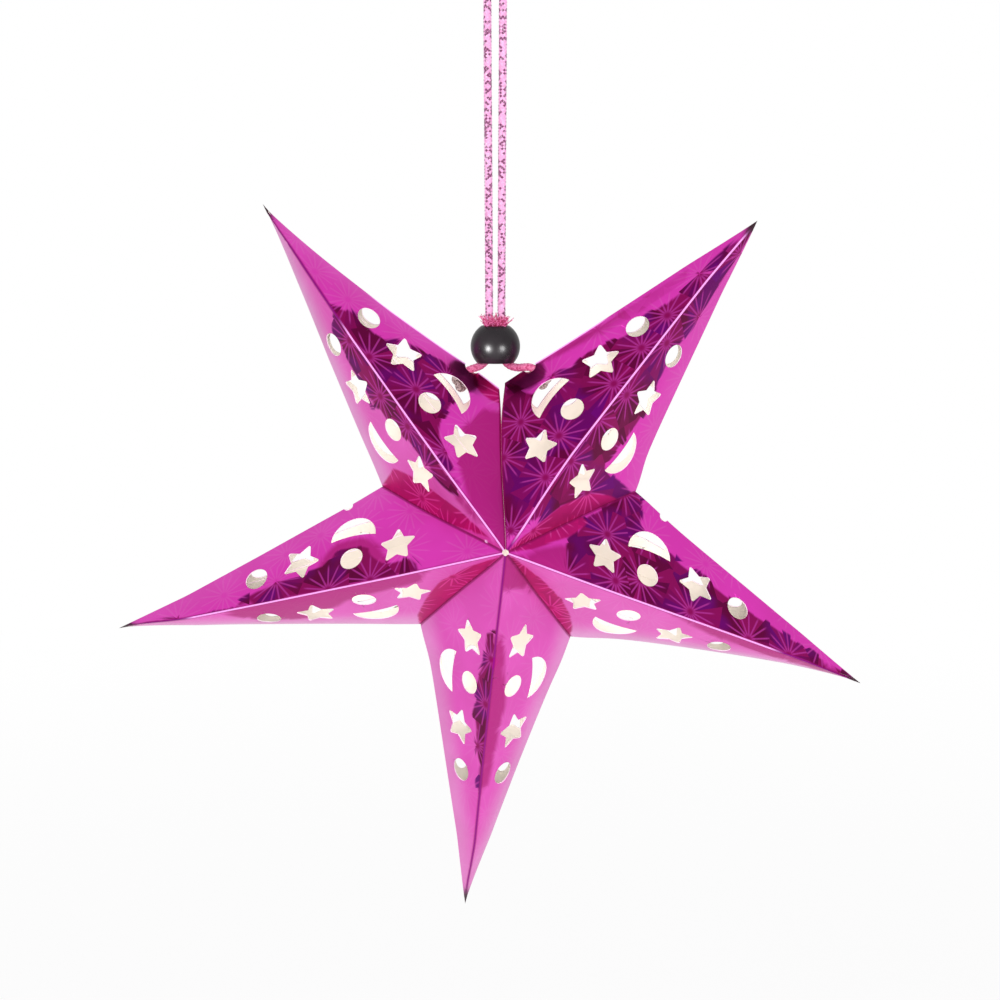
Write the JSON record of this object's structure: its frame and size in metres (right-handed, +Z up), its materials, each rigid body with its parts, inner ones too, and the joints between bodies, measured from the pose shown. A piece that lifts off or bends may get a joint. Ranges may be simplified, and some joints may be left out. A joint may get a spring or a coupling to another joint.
{
  "type": "paper star lantern",
  "caption": "Hanging star lantern of folded, die-cut foil card with a front and a back point, on a laced cord loop with a sliding bead.",
  "frame": {"origin": "where a hook bears, inside the top of the cord's loop; the centre of the star is 0.221 m below it", "axes": "+Z up along the cord, +X to the right seen from the front, +Y from the front point towards the back point"},
  "size_m": [0.2972, 0.0952, 0.3814],
  "materials": {
    "foil_card": "magenta mirror foil with a fine starburst pattern outside, bare cream card inside",
    "braided_cord": "pink braid with a darker fleck and a slight glitter",
    "black_bead": "black satin lacquer"
  },
  "bodies": {
    "lantern": {"arm_top_left": "foil_card", "arm_left": "foil_card", "arm_bottom": "foil_card", "arm_right": "foil_card", "arm_top_right": "foil_card", "hanging_cord": "braided_cord"},
    "bead": {"bead": "black_bead"}
  },
  "joints": [
    {"name": "bead_slide", "type": "slide", "parent": "lantern", "child": "bead", "axis": [0, 0, 1], "range_m": [0, 0.1]}
  ]
}
